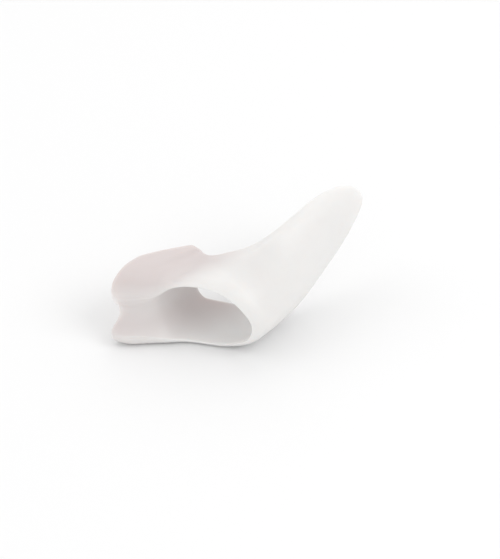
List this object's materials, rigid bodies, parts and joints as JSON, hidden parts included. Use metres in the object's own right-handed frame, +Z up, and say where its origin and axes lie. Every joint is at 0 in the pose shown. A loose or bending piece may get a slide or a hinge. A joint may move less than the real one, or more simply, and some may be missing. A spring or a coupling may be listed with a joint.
{
  "type": "gel toe separator",
  "caption": "One-piece soft gel toe separator: a loop for the big toe, a waisted spreader beside it and a thin cupped pad that runs back over the joint.",
  "frame": {"origin": "on the surface that the piece stands on, under the middle of the toe hole", "axes": "+X towards the inner side of the foot, +Y along the toe towards the heel, +Z up"},
  "size_m": [0.0416, 0.0832, 0.0373],
  "materials": {
    "gel": "milky translucent gel, smooth with a soft satin shine"
  },
  "bodies": {
    "root": {"gel_separator": "gel"}
  },
  "joints": []
}
